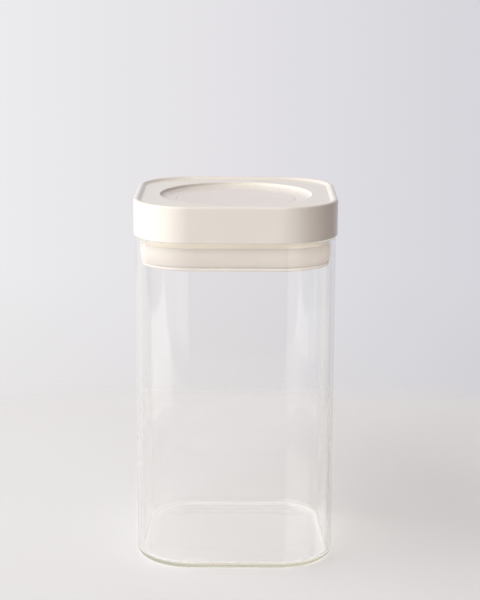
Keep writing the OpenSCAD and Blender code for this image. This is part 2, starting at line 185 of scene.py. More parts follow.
def mouldedSkinGroup():
    # the faint unevenness of a moulded surface: a soft ripple, a fine grain and a wandering gloss
    tree, source, result = makeGroup(
        "mouldedSkin",
        {"Ripple Scale": 40.0, "Ripple Height": 0.00002, "Grain Scale": 1500.0, "Grain Height": 0.000002,
         "Base Roughness": 0.3, "Roughness Spread": 0.06},
        {"Normal": "Vector", "Roughness": "Float", "Mask": "Float"})
    nodes, links = tree.nodes, tree.links
    place = nodes.new("ShaderNodeTexCoord")
    ripple, grain = nodes.new("ShaderNodeTexNoise"), nodes.new("ShaderNodeTexNoise")
    ripple.inputs["Detail"].default_value = 1.0
    for texture, label in ((ripple, "Ripple Scale"), (grain, "Grain Scale")):
        links.new(place.outputs["Object"], texture.inputs["Vector"])
        links.new(source.outputs[label], texture.inputs["Scale"])
    rippled = addMath(nodes, links, "MULTIPLY", ripple.outputs["Fac"], source.outputs["Ripple Height"])
    height = addMath(nodes, links, "MULTIPLY_ADD", grain.outputs["Fac"], source.outputs["Grain Height"],
                     rippled)
    bump = nodes.new("ShaderNodeBump")
    setSockets(bump, {"Strength": 1.0, "Distance": 1.0})
    links.new(height, bump.inputs["Height"])
    links.new(bump.outputs["Normal"], result.inputs["Normal"])
    links.new(addMath(nodes, links, "MULTIPLY_ADD", ripple.outputs["Fac"], source.outputs["Roughness Spread"],
                      source.outputs["Base Roughness"]), result.inputs["Roughness"])
    links.new(ripple.outputs["Fac"], result.inputs["Mask"])
    return tree


def handlingMarksGroup():
    # patches where hands and cloths have left the surface a little duller
    tree, source, result = makeGroup("handlingMarks", {"Scale": 18.0, "Amount": 0.5}, {"Mask": "Float"})
    nodes, links = tree.nodes, tree.links
    place = nodes.new("ShaderNodeTexCoord")
    patches = nodes.new("ShaderNodeTexNoise")
    setSockets(patches, {"Detail": 5.0, "Roughness": 0.6})
    links.new(place.outputs["Object"], patches.inputs["Vector"])
    links.new(source.outputs["Scale"], patches.inputs["Scale"])
    ramp = mapRange(nodes, links, patches.outputs["Fac"], 0.45, 0.75)
    links.new(addMath(nodes, links, "MULTIPLY", ramp, source.outputs["Amount"]), result.inputs["Mask"])
    return tree


mouldedSkin = mouldedSkinGroup()
handlingMarks = handlingMarksGroup()


# materials

def skinnedMaterial(name, look):
    # the second tone lies in the handling marks, or in the skin's own ripple where there are none
    material, nodes, links, shader, _ = newMaterial(name)
    setSockets(shader, look["shader"])
    skin = groupNode(nodes, mouldedSkin, look["skin"])
    worn = groupNode(nodes, handlingMarks, look["marks"]) if "marks" in look else skin
    tone = mixColour(nodes, links, worn.outputs["Mask"], look["colour"], look["shade"])
    links.new(tone, shader.inputs["Base Color"])
    links.new(skin.outputs["Normal"], shader.inputs["Normal"])
    links.new(skin.outputs["Roughness"], shader.inputs["Roughness"])
    return material


lidPlastic = skinnedMaterial("lidPlastic", {
    "colour": linear(240, 235, 227),
    "shade": linear(234, 228, 219),
    "shader": {"IOR": 1.49, "Coat Weight": 0.3, "Coat Roughness": 0.06},
    "skin": {"Ripple Scale": 30.0, "Ripple Height": 0.00003, "Grain Scale": 2500.0, "Grain Height": 0.0000012,
             "Base Roughness": 0.2, "Roughness Spread": 0.08},
    "marks": {"Scale": 22.0, "Amount": 0.35},
})
buttonPlastic = skinnedMaterial("buttonPlastic", {
    "colour": linear(238, 232, 228),
    "shade": linear(232, 225, 221),
    "shader": {"IOR": 1.49, "Coat Weight": 0.15, "Coat Roughness": 0.1},
    "skin": {"Ripple Scale": 30.0, "Ripple Height": 0.00002, "Grain Scale": 2500.0, "Grain Height": 0.000002,
             "Base Roughness": 0.3, "Roughness Spread": 0.08},
    "marks": {"Scale": 25.0, "Amount": 0.3},
})
plugLook = {
    "colour": linear(231, 224, 211),
    "shade": linear(224, 216, 201),
    "shader": {"IOR": 1.49, "Specular IOR Level": 0.4},
    "skin": {"Ripple Scale": 40.0, "Ripple Height": 0.00002, "Grain Scale": 2200.0, "Grain Height": 0.000004,
             "Base Roughness": 0.42, "Roughness Spread": 0.08},
    "marks": {"Scale": 30.0, "Amount": 0.4},
}
plugPlastic = skinnedMaterial("plugPlastic", plugLook)
# the plug plastic coloured darker and greyer for the bottom cover: painted shade along the foot of the gasket
shadedCoverPlastic = skinnedMaterial("shadedCoverPlastic", {
    **plugLook, "colour": linear(208, 204, 201), "shade": linear(202, 197, 192)})
acetalPlastic = skinnedMaterial("acetalPlastic", {
    "colour": linear(226, 226, 220),
    "shade": linear(212, 212, 205),
    "shader": {"IOR": 1.48, "Specular IOR Level": 0.4},
    "skin": {"Ripple Scale": 60.0, "Ripple Height": 0.00002, "Grain Scale": 2600.0, "Grain Height": 0.000003,
             "Base Roughness": 0.38, "Roughness Spread": 0.1},
    "marks": {"Scale": 60.0, "Amount": 0.5},
})
milkySilicone = skinnedMaterial("milkySilicone", {
    "colour": linear(208, 204, 201),
    "shade": linear(204, 199, 194),
    "shader": {"IOR": 1.41, "Specular IOR Level": 0.4, "Subsurface Weight": 1.0, "Subsurface Scale": 1.0 * mm,
               "Subsurface Radius": (1.0, 0.9, 0.75)},
    "skin": {"Ripple Scale": 60.0, "Ripple Height": 0.00002, "Grain Scale": 1800.0, "Grain Height": 0.000003,
             "Base Roughness": 0.4, "Roughness Spread": 0.1},
})
springSteel = skinnedMaterial("springSteel", {
    "colour": linear(214, 216, 219),
    "shade": linear(186, 188, 192),
    "shader": {"Metallic": 1.0},
    "skin": {"Ripple Scale": 300.0, "Ripple Height": 0.00001, "Grain Scale": 4000.0, "Grain Height": 0.000002,
             "Base Roughness": 0.25, "Roughness Spread": 0.15},
})

glassLook = {
    "shader": {"Base Color": linear(255, 255, 255), "IOR": 1.47, "Transmission Weight": 1.0, "Metallic": 0.0,
               "Roughness": 0.0},
    "skin": {"Ripple Scale": 14.0, "Ripple Height": 0.00003, "Grain Scale": 400.0, "Grain Height": 0.0,
             "Base Roughness": 0.0, "Roughness Spread": 0.0},
    "absorption": {"Color": (0.88, 0.84, 0.5, 1.0), "Density": 6.0},
    "reflected": 0.03,       # share that a wall met squarely turns back
    "edgeSharpness": 5.0,    # how late that share rises towards a wall's edge
    "caughtAfter": 9.0,      # bounces after which a ray caught inside the wall is let out
}


def glassMaterial(name, look):
    # shadow and diffuse rays pass straight through and lose only what the surface reflects, so the table
    # under the jar stays bright
    material, nodes, links, shader, output = newMaterial(name)
    setSockets(shader, look["shader"])
    skin = groupNode(nodes, mouldedSkin, look["skin"])
    links.new(skin.outputs["Normal"], shader.inputs["Normal"])
    clear = nodes.new("ShaderNodeBsdfTransparent")
    rays, edge = nodes.new("ShaderNodeLightPath"), nodes.new("ShaderNodeLayerWeight")
    edge.inputs["Blend"].default_value = 0.5
    grazing = addMath(nodes, links, "POWER", edge.outputs["Facing"], look["edgeSharpness"])
    passing = addMath(nodes, links, "MULTIPLY_ADD", grazing, look["reflected"] - 1, 1 - look["reflected"])
    soft = addMath(nodes, links, "MAXIMUM", rays.outputs["Is Shadow Ray"], rays.outputs["Is Diffuse Ray"])
    caught = addMath(nodes, links, "GREATER_THAN", rays.outputs["Ray Depth"], look["caughtAfter"])
    share = addMath(nodes, links, "MAXIMUM", addMath(nodes, links, "MULTIPLY", soft, passing), caught)
    mixShaders(nodes, links, share, shader.outputs["BSDF"], clear.outputs["BSDF"], output)
    absorption = nodes.new("ShaderNodeVolumeAbsorption")
    setSockets(absorption, look["absorption"])
    links.new(absorption.outputs["Volume"], output.inputs["Volume"])
    return material


clearGlass = glassMaterial("clearGlass", glassLook)
print("materials made")


# geometry node trees and what they leave behind

def geometryTree(name, inputs):
    tree = bpy.data.node_groups.new(name, "GeometryNodeTree")
    for label, kind in inputs.items():
        tree.interface.new_socket(label, in_out="INPUT", socket_type="NodeSocket" + kind)
    tree.interface.new_socket("Geometry", in_out="OUTPUT", socket_type="NodeSocketGeometry")
    return tree, tree.nodes, tree.links, tree.nodes.new("NodeGroupInput")


def finishTree(tree, geometry, finish):
    nodes, links = tree.nodes, tree.links
    realize, painted = nodes.new("GeometryNodeRealizeInstances"), nodes.new("GeometryNodeSetMaterial")
    links.new(geometry, realize.inputs["Geometry"])
    links.new(realize.outputs["Geometry"], painted.inputs["Geometry"])
    links.new(finish, painted.inputs["Material"])
    links.new(painted.outputs["Geometry"], nodes.new("NodeGroupOutput").inputs["Geometry"])
    return tree


def bakedMesh(name, line, tree, values):
    # runs a geometry node tree on a host mesh and keeps the result as a plain mesh
    host = bpy.data.objects.new(name + "Host", line)
    bpy.context.scene.collection.objects.link(host)
    modifier = host.modifiers.new("build", "NODES")
    modifier.node_group = tree
    for item in tree.interface.items_tree:
        if item.item_type == "SOCKET" and item.in_out == "INPUT" and item.name in values:
            modifier[item.identifier] = values[item.name]
    bpy.context.view_layer.update()
    evaluated = host.evaluated_get(bpy.context.evaluated_depsgraph_get())
    mesh = bpy.data.meshes.new_from_object(evaluated)
    mesh.name = name
    bpy.data.objects.remove(host)
    bpy.data.meshes.remove(line)
    return mesh


def cleaned(mesh, sharpAngle=35):
    shell = bmesh.new()
    shell.from_mesh(mesh)
    bmesh.ops.remove_doubles(shell, verts=shell.verts, dist=0.005 * mm)
    rims = [edge for edge in shell.edges if edge.is_boundary]
    if rims:
        bmesh.ops.holes_fill(shell, edges=rims, sides=0)
    bmesh.ops.recalc_face_normals(shell, faces=shell.faces)
    shell.to_mesh(mesh)
    shell.free()
    smoothMesh(mesh, sharpAngle)
    return mesh


# swept pieces: a profile carried round the rounded square

jarLow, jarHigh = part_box("glass_jar")
lidLow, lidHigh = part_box("lid_cover")
gasketLow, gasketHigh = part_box("gasket")
coverLow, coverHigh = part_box("bottom_cover")
buttonLow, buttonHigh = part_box("push_button")
outline = {"cornerCentre": 21.95 * mm, "pathRadius": 1 * mm, "cornerSteps": 60, "sideSteps": 10}


def sweepTree():
    # Curve to Mesh round a small rounded square. The profile's x runs outward and its y runs down.
    tree, nodes, links, source = geometryTree("roundedSquareSweep", {
        "Geometry": "Geometry", "Corner Centre": "Float", "Path Radius": "Float", "Corner Steps": "Int",
        "Finish": "Material"})
    profile = nodes.new("GeometryNodeMeshToCurve")
    links.new(source.outputs["Geometry"], profile.inputs["Mesh"])
    half = addMath(nodes, links, "ADD", source.outputs["Corner Centre"], source.outputs["Path Radius"])
    side = addMath(nodes, links, "MULTIPLY", half, 2.0)
    square = nodes.new("GeometryNodeCurvePrimitiveQuadrilateral")
    links.new(side, square.inputs["Width"])
    links.new(side, square.inputs["Height"])
    fillet = nodes.new("GeometryNodeFilletCurve")
    fillet.mode = "POLY"
    links.new(square.outputs["Curve"], fillet.inputs["Curve"])
    links.new(source.outputs["Corner Steps"], fillet.inputs["Count"])
    links.new(source.outputs["Path Radius"], fillet.inputs["Radius"])
    upright = nodes.new("GeometryNodeSetCurveNormal")
    upright.mode = "Z_UP"
    links.new(fillet.outputs["Curve"], upright.inputs["Curve"])
    sweep = nodes.new("GeometryNodeCurveToMesh")
    links.new(upright.outputs["Curve"], sweep.inputs["Curve"])
    links.new(profile.outputs["Curve"], sweep.inputs["Profile Curve"])
    return finishTree(tree, sweep.outputs["Mesh"], source.outputs["Finish"])


sweepNodes = sweepTree()


def sweptMesh(name, profile, closed, material, sharpAngle=35):
    # profile points are (distance from the middle plane, height), in metres
    inset = outline["cornerCentre"] + outline["pathRadius"]
    line = bpy.data.meshes.new(name + "Profile")
    count = len(profile)
    edges = [(i, i + 1) for i in range(count - 1)] + ([(count - 1, 0)] if closed else [])
    line.from_pydata([(x - inset, -z, 0) for x, z in profile], edges, [])
    mesh = bakedMesh(name, line, sweepNodes, {
        "Corner Centre": outline["cornerCentre"], "Path Radius": outline["pathRadius"],
        "Corner Steps": outline["cornerSteps"], "Finish": material})
    return cleaned(mesh, sharpAngle)


# glass jar

jarForm = {"wall": 2.2 * mm, "base": 2.4 * mm, "heelRadius": 3.4 * mm, "floorRadius": 1.8 * mm,
           "pushUp": 0.4 * mm, "pushUpRun": 14.0 * mm, "pushUpRound": 40 * mm, "footWidth": 4.0 * mm,
           "innermost": 22.6 * mm, "sharpAngle": 60}


def makeJar(form):
    half, top = jarHigh.x, jarHigh.z
    mouth = half - form["wall"]
    foot = half - form["heelRadius"] - form["footWidth"]
    rim = form["wall"] / 2 * 0.999    # just under half the wall, so that both arcs fit
    profile = filleted([
        (form["innermost"], form["pushUp"], 0),
        (foot - form["pushUpRun"], form["pushUp"], form["pushUpRound"]),
        (foot, 0, form["pushUpRound"]),
        (half, 0, form["heelRadius"]),
        (half, top, rim),
        (mouth, top, rim),
        (mouth, form["base"], form["floorRadius"]),
        (form["innermost"], form["base"], 0)])
    mesh = sweptMesh("glassJar", profile, False, clearGlass, form["sharpAngle"])
    return addPiece("glassJar", mesh, clearGlass, "jar", "jar_glass", "glass_jar")


makeJar(jarForm)
print("jar made")


# lid cover: rounded square outside, round well inside

lidForm = {
    "wall": 2.2 * mm, "edge": 1.2 * mm, "lowerEdge": 0.35 * mm, "innerEdge": 0.3 * mm,
    "land": 2.1 * mm, "landRound": 0.6 * mm, "slope": 1.7 * mm, "slopeRound": 0.9 * mm, "drop": 1.1 * mm,
    "deckReach": 1.2 * mm, "deckFall": 0.15 * mm,    # flat this far in, then a slight fall to the well
    "wellRadius": 37.9 * mm, "wellDepth": 2.4 * mm, "wellLip": 0.05 * mm, "wellLipRound": 0.45 * mm,
    "wellWall": 0.4 * mm, "wellWallDepth": 1.3 * mm, "wellWallRound": 0.8 * mm,    # the short steep part
    "wellSlope": 2.4 * mm, "wellRise": 0.3 * mm, "wellSlopeRound": 2.4 * mm,       # the wide gentle part
    "openingRadius": 29.95 * mm, "openingRound": 0.15 * mm, "collarHeight": 3.4 * mm, "collarWall": 2.0 * mm,
    "collarRound": 0.3 * mm}


def loftMesh(name, rings, closed):
    # rings of equal counts joined in turn; an open loft is closed at both ends with a small cap
    mesh = bpy.data.meshes.new(name)
    count = len(rings[0])
    faces = []
    for ring in range(len(rings) if closed else len(rings) - 1):
        following = (ring + 1) % len(rings)
        for i in range(count):
            j = (i + 1) % count
            faces.append((ring * count + i, ring * count + j, following * count + j, following * count + i))
    if not closed:
        faces.append(tuple(range(count)))
        faces.append(tuple((len(rings) - 1) * count + i for i in range(count)))
    mesh.from_pydata([point for ring in rings for point in ring], [], faces)
    return cleaned(mesh)


def squareRing(half, height):
    corner, radius = outline["cornerCentre"], half - outline["cornerCentre"]
    points = []
    for quarter in range(4):
        turned = Quaternion((0, 0, 1), math.radians(90 * quarter))
        for step in range(outline["cornerSteps"] + 1):
            angle = math.radians(90 * step / outline["cornerSteps"])
            points.append(turned @ Vector((corner + radius * math.cos(angle),
                                           corner + radius * math.sin(angle), height)))
        for step in range(1, outline["sideSteps"]):
            across = corner * (1 - 2 * step / outline["sideSteps"])
            points.append(turned @ Vector((across, half, height)))
    return points


def roundRing(radius, height):
    # the same count of points as the square ring, each in the direction of its partner
    return [Vector((point.x, point.y, 0)).normalized() * radius + Vector((0, 0, height))
            for point in squareRing(lidHigh.x, 0)]


def makeLidCover(form):
    half, top, bottom = lidHigh.x, lidHigh.z, lidLow.z
    inside = half - form["wall"]
    deck = top - form["drop"]
    under = deck - form["wall"]
    wellEdge = deck - form["deckFall"]
    well = deck - form["wellDepth"]
    slopeTop = half - form["land"]
    slopeFoot = slopeTop - form["slope"]
    collar = form["openingRadius"] + form["collarWall"]
    wellRadius, opening = form["wellRadius"], form["openingRadius"]
    collarFoot, floorUnder = well - form["collarHeight"], well - form["collarWall"]
    outside = filleted([
        (inside, under, 0), (inside, bottom, form["innerEdge"]), (half, bottom, form["lowerEdge"]),
        (half, top, form["edge"]), (slopeTop, top, form["landRound"]), (slopeFoot, deck, form["slopeRound"]),
        (slopeFoot - form["deckReach"], deck, 0)])
    middle = filleted([
        (wellRadius + form["collarWall"], wellEdge, 0),
        (wellRadius + form["wellLip"], wellEdge, form["wellLipRound"]),
        (wellRadius - form["wellWall"], wellEdge - form["wellWallDepth"], form["wellWallRound"]),
        (wellRadius - form["wellSlope"], well + form["wellRise"], form["wellSlopeRound"]),
        (opening, well, form["openingRound"]), (opening, collarFoot, form["collarRound"]),
        (collar, collarFoot, form["collarRound"]), (collar, floorUnder, 0),
        (wellRadius + form["collarWall"], floorUnder, 0), (wellRadius + form["collarWall"], under, 0)])
    rings = [squareRing(x, z) for x, z in outside] + [roundRing(x, z) for x, z in middle]
    mesh = loftMesh("lidCover", rings, True)
    return addPiece("lidCover", mesh, lidPlastic, "lid", "lid_plastic", "lid_cover")


makeLidCover(lidForm)


# push button

buttonForm = {"radius": 29.87 * mm, "edge": 0.18 * mm, "rimWidth": 1.8 * mm, "dish": 0.3 * mm,
              "dishSteps": (0.01, 0.15, 0.3, 0.45, 0.6, 0.75, 0.88, 0.96, 1.0),    # shares of its radius
              "topWall": 2.2 * mm, "topRound": 0.5 * mm, "skirtWall": 1.8 * mm, "skirtRound": 0.2 * mm,
              "footReach": 1.6 * mm, "footHeight": 1.6 * mm, "hub": 0.3 * mm}


def makeButton(form):
    top, foot = buttonHigh.z, buttonLow.z
    radius, small = form["radius"], form["skirtRound"]
    dishRadius, inside = radius - form["rimWidth"], radius - form["skirtWall"]
    footRadius, footTop = lidForm["openingRadius"] + form["footReach"], foot + form["footHeight"]
    under = top - form["topWall"]
    dish = [(dishRadius * share, top - form["dish"] * (1 - share * share)) for share in form["dishSteps"]]
    edge = filleted([
        (dishRadius, top, 0), (radius, top, form["edge"]), (radius, footTop, small),
        (footRadius, footTop, small), (footRadius, foot, small), (inside, foot, small),
        (inside, under, form["topRound"]), (form["hub"], under, 0)])
    mesh = loftMesh("pushButton", [roundRing(x, z) for x, z in dish + edge[1:]], False)
    return addPiece("pushButton", mesh, buttonPlastic, "button", "button_plastic", "push_button")


makeButton(buttonForm)
print("lid cover and button made")


# gasket and bottom cover

gasketForm = {"half": 46.65 * mm, "wall": 1.7 * mm, "bulge": 1.1 * mm, "lip": 1.5 * mm, "lipReach": 2.2 * mm,
              "innerRound": 0.3 * mm, "beadWidth": 1.0 * mm, "beadHeight": 0.8 * mm, "beadInset": 0.2 * mm,
              "rows": 14}


def makeGasket(form):
    bead = form["beadHeight"]
    low, high = gasketLow.z + bead, gasketHigh.z - bead
    centre, reach = (low + high) / 2, (high - low) / 2
    inner = form["half"] - form["wall"]
    beadOut = inner - form["beadInset"]
    beadIn = beadOut - form["beadWidth"]
    lipIn = inner - form["lipReach"]
    corners = [(inner, low + form["lip"], form["innerRound"]), (lipIn, low + form["lip"], 0), (lipIn, low, 0),
               (beadIn, low, 0), (beadIn, low - bead, 0), (beadOut, low - bead, 0), (beadOut, low, 0)]
    for row in range(form["rows"] + 1):
        share = -1 + 2 * row / form["rows"]
        corners.append((form["half"] - form["bulge"] * share * share, centre + reach * share, 0))
    corners += [(beadOut, high, 0), (beadOut, high + bead, 0), (beadIn, high + bead, 0), (beadIn, high, 0),
                (lipIn, high, 0), (lipIn, high - form["lip"], 0),
                (inner, high - form["lip"], form["innerRound"])]
    mesh = sweptMesh("gasketSleeve", filleted(corners), True, milkySilicone)
    return addPiece("gasketSleeve", mesh, milkySilicone, "lid", "silicone", "gasket")


makeGasket(gasketForm)

bottomForm = {"edge": 0.8 * mm, "upperEdge": 0.2 * mm, "thickness": 1.6 * mm, "innermost": 22.6 * mm,
              "grooveInset": 0.15 * mm, "grooveSpare": 0.1 * mm, "grooveDepthSpare": 0.05 * mm}


def makeBottomCover(form):
    half, low = coverHigh.x, coverLow.z
    high = low + form["thickness"]
    grooveOut = gasketForm["half"] - gasketForm["wall"] - form["grooveInset"]
    grooveIn = grooveOut - gasketForm["beadWidth"] - form["grooveSpare"]
    grooveFloor = high - gasketForm["beadHeight"] - form["grooveDepthSpare"]
    profile = filleted([
        (form["innermost"], low, 0), (half, low, form["edge"]), (half, high, form["upperEdge"]),
        (grooveOut, high, 0), (grooveOut, grooveFloor, 0), (grooveIn, grooveFloor, 0), (grooveIn, high, 0),
        (form["innermost"], high, 0)])
    mesh = sweptMesh("bottomCover", profile, False, shadedCoverPlastic)
    return addPiece("bottomCover", mesh, shadedCoverPlastic, "lid", "plug_plastic", "bottom_cover")


makeBottomCover(bottomForm)
print("gasket and bottom cover made")


# posts, bosses, pins and ribs: one shape of each, copied to its places

def copiesTree():
    # the host mesh holds the places; each copy is turned to point away from the middle
    tree, nodes, links, source = geometryTree("copiesAtPlaces", {
        "Geometry": "Geometry", "Shape": "Object", "Finish": "Material"})
    shape = nodes.new("GeometryNodeObjectInfo")
    links.new(source.outputs["Shape"], shape.inputs["Object"])
    here, split = nodes.new("GeometryNodeInputPosition"), nodes.new("ShaderNodeSeparateXYZ")
    links.new(here.outputs["Position"], split.inputs["Vector"])
    turn = nodes.new("ShaderNodeCombineXYZ")
    links.new(addMath(nodes, links, "ARCTAN2", split.outputs["Y"], split.outputs["X"]), turn.inputs["Z"])
    copies = nodes.new("GeometryNodeInstanceOnPoints")
    links.new(source.outputs["Geometry"], copies.inputs["Points"])
    links.new(shape.outputs["Geometry"], copies.inputs["Instance"])
    links.new(turn.outputs["Vector"], copies.inputs["Rotation"])
    return finishTree(tree, copies.outputs["Instances"], source.outputs["Finish"])


copyNodes = copiesTree()


def placedCopies(name, shape, places, material, body, slotName, replaced):
    pattern = bpy.data.objects.new(name + "Shape", shape)
    bpy.context.scene.collection.objects.link(pattern)
    points = bpy.data.meshes.new(name + "Places")
    points.from_pydata([(x, y, 0) for x, y in places], [], [])
    mesh = bakedMesh(name, points, copyNodes, {"Shape": pattern, "Finish": material})
    bpy.data.objects.remove(pattern)
    smoothMesh(mesh, sharpAngle=30)
    return addPiece(name, mesh, material, body, slotName, replaced)


def fourCorners(x, y):
    return [(x, y), (-x, y), (-x, -y), (x, -y)]


def turnedShape(name, profile, steps=32):
    # profile points are (radius, height), from one end of the shape to the other
    angles = [2 * math.pi * step / steps for step in range(steps)]
    rings = [[Vector((radius * math.cos(a), radius * math.sin(a), height)) for a in angles]
             for radius, height in profile]
    return loftMesh(name, rings, False)


def boredPost(name, form):
    # a post that takes a screw from below
    low, high, radius, bore, lead = (form[key] for key in ("low", "high", "radius", "bore", "lead"))
    return turnedShape(name, [(tiny, high), (radius, high), (radius, low + lead), (radius - lead, low),
                              (bore, low), (bore, form["boreTop"]), (tiny, form["boreTop"])])


postForm = {"x": 30.35 * mm, "y": 30.35 * mm, "radius": 3.6 * mm, "bore": 1.45 * mm, "lead": 0.3 * mm,
            "low": lidLow.z + 2.0 * mm, "high": lidLow.z + 14.25 * mm, "boreTop": lidLow.z + 9.4 * mm}
bossForm = {"x": 14.5 * mm, "y": 14.5 * mm, "radius": 2.6 * mm, "bore": 0.95 * mm, "lead": 0.25 * mm,
            "low": buttonLow.z, "high": buttonLow.z + 3.05 * mm, "boreTop": buttonLow.z + 2.8 * mm}
pinForm = {"x": 19 * mm, "y": 33.25 * mm, "radius": 1.6 * mm, "lead": 0.3 * mm,
           "low": coverHigh.z - 4.55 * mm, "high": coverHigh.z}
ribForm = {"inner": 37.8 * mm, "outer": 47.85 * mm, "width": 1.2 * mm, "height": 3.5 * mm,
           "round": 0.15 * mm, "high": lidHigh.z - 3.25 * mm}


def makeRibs(form):
    high, low = form["high"], form["high"] - form["height"]
    middle, long = (form["inner"] + form["outer"]) / 2, (form["outer"] - form["inner"]) / 2
    rings = []
    for height, inset in ((high, 0), (low + form["round"], 0), (low, form["round"])):
        wide = form["width"] / 2 - inset
        rings.append([Vector((x, y, height)) for x, y in fourCorners(long, wide)])
    places = [(middle, 0), (0, middle), (-middle, 0), (0, -middle)]
    placedCopies("lidRibs", loftMesh("ribShape", rings, False), places, lidPlastic, "lid", "lid_plastic",
                 "lid_cover")


def makePins(form):
    low, high, radius, lead = (form[key] for key in ("low", "high", "radius", "lead"))
    shape = turnedShape("pinShape", [(tiny, low), (radius, low), (radius, high - lead), (radius - lead, high),
                                     (tiny, high)])
    placedCopies("coverPins", shape, fourCorners(form["x"], form["y"]), shadedCoverPlastic, "lid", "plug_plastic",
                 "bottom_cover")


placedCopies("lidPosts", boredPost("postShape", postForm), fourCorners(postForm["x"], postForm["y"]),
             lidPlastic, "lid", "lid_plastic", "lid_cover")
placedCopies("buttonBosses", boredPost("bossShape", bossForm), fourCorners(bossForm["x"], bossForm["y"]),
             buttonPlastic, "button", "button_plastic", "push_button")
makeRibs(ribForm)
makePins(pinForm)
print("posts, bosses, ribs and pins made")


# return spring: a coil between the lid and the button

springLow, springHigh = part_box("return_spring")
springForm = {"radius": 11.4 * mm, "wire": 1.2 * mm, "turns": 7, "steps": 36, "sides": 12}


def springTree():
    # the host line holds the coil's heights; each point is turned into place round the axis
    tree, nodes, links, source = geometryTree("coilSpring", {
        "Geometry": "Geometry", "Coil Radius": "Float", "Wire Radius": "Float", "Turn Per Step": "Float",
        "Sides": "Int", "Finish": "Material"})
    line = nodes.new("GeometryNodeMeshToCurve")
    links.new(source.outputs["Geometry"], line.inputs["Mesh"])
    angle = addMath(nodes, links, "MULTIPLY", nodes.new("GeometryNodeInputIndex").outputs["Index"],
                    source.outputs["Turn Per Step"])
    here, height = nodes.new("GeometryNodeInputPosition"), nodes.new("ShaderNodeSeparateXYZ")
    links.new(here.outputs["Position"], height.inputs["Vector"])
    place = nodes.new("ShaderNodeCombineXYZ")
    for axis, turn in (("X", "COSINE"), ("Y", "SINE")):
        links.new(addMath(nodes, links, "MULTIPLY", addMath(nodes, links, turn, angle),
                          source.outputs["Coil Radius"]), place.inputs[axis])
    links.new(height.outputs["Z"], place.inputs["Z"])
    coil = nodes.new("GeometryNodeSetPosition")
    links.new(line.outputs["Curve"], coil.inputs["Geometry"])
    links.new(place.outputs["Vector"], coil.inputs["Position"])
    upright = nodes.new("GeometryNodeSetCurveNormal")
    upright.mode = "Z_UP"
    links.new(coil.outputs["Geometry"], upright.inputs["Curve"])
    wire = nodes.new("GeometryNodeCurvePrimitiveCircle")
    links.new(source.outputs["Sides"], wire.inputs["Resolution"])
    links.new(source.outputs["Wire Radius"], wire.inputs["Radius"])
    sweep = nodes.new("GeometryNodeCurveToMesh")
    sweep.inputs["Fill Caps"].default_value = True
    links.new(upright.outputs["Curve"], sweep.inputs["Curve"])
    links.new(wire.outputs["Curve"], sweep.inputs["Profile Curve"])
    return finishTree(tree, sweep.outputs["Mesh"], source.outputs["Finish"])


def makeSpring(form):
    # one dead turn lies flat at each end, as on a ground spring
    low, high = springLow.z + form["wire"] / 2, springHigh.z - form["wire"] / 2
    count = form["turns"] * form["steps"]
    dead = form["wire"] / (high - low)
    heights = []
    for i in range(count + 1):
        turn = i / form["steps"]
        if turn < 1:
            share = dead * turn
        elif turn > form["turns"] - 1:
            share = 1 - dead * (form["turns"] - turn)
        else:
            share = dead + (1 - 2 * dead) * (turn - 1) / (form["turns"] - 2)
        heights.append(low + (high - low) * share)
    line = bpy.data.meshes.new("springLine")
    line.from_pydata([(0, 0, z) for z in heights], [(i, i + 1) for i in range(count)], [])
    mesh = bakedMesh("returnSpring", line, springTree(), {
        "Coil Radius": form["radius"], "Wire Radius": form["wire"] / 2,
        "Turn Per Step": 2 * math.pi / form["steps"], "Sides": form["sides"], "Finish": springSteel})
    cleaned(mesh, sharpAngle=50)
    spring = newPiece("returnSpring", mesh, springSteel, "steel", "return_spring")
    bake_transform(spring)


makeSpring(springForm)
print("spring made")


# inner pieces keep their solids

def smoothCopy(name, nodeName, material, body, slotName):
    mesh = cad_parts[nodeName].data.copy()
    mesh.name = name
    return addPiece(name, cleaned(mesh, sharpAngle=30), material, body, slotName, nodeName)


smoothCopy("plugFrame", "plug_frame", plugPlastic, "lid", "plug_plastic")
smoothCopy("camPlunger", "cam_plunger", acetalPlastic, "button", "acetal")

finishByNode = {
    "pusher_front": acetalPlastic, "pusher_right": acetalPlastic, "pusher_back": acetalPlastic,
    "pusher_left": acetalPlastic, "latch_bracket": acetalPlastic, "latch_pin": springSteel,
    "latch_screw": springSteel, "frame_screws": springSteel, "button_screws": springSteel}
for nodeName, material in finishByNode.items():
    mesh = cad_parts[nodeName].data
    mesh.materials.clear()
    mesh.materials.append(material)
print("inner pieces finished")


# floor, world, lamps and camera

floorLook = {
    # painted light: near and far colour the floor lighter towards the left and back
    "near": linear(240, 241, 243), "far": linear(245, 246, 249),    # right and front, left and back
    "paintedLightStart": -0.07, "paintedLightEnd": 0.3, "roughness": 0.7, "gloss": 0.2,
    "reach": 0.6, "height": -0.15 * mm,
    "fadeStart": 0.24, "fadeEnd": 0.31, "squareness": 4.0}          # its edge melts into the backdrop


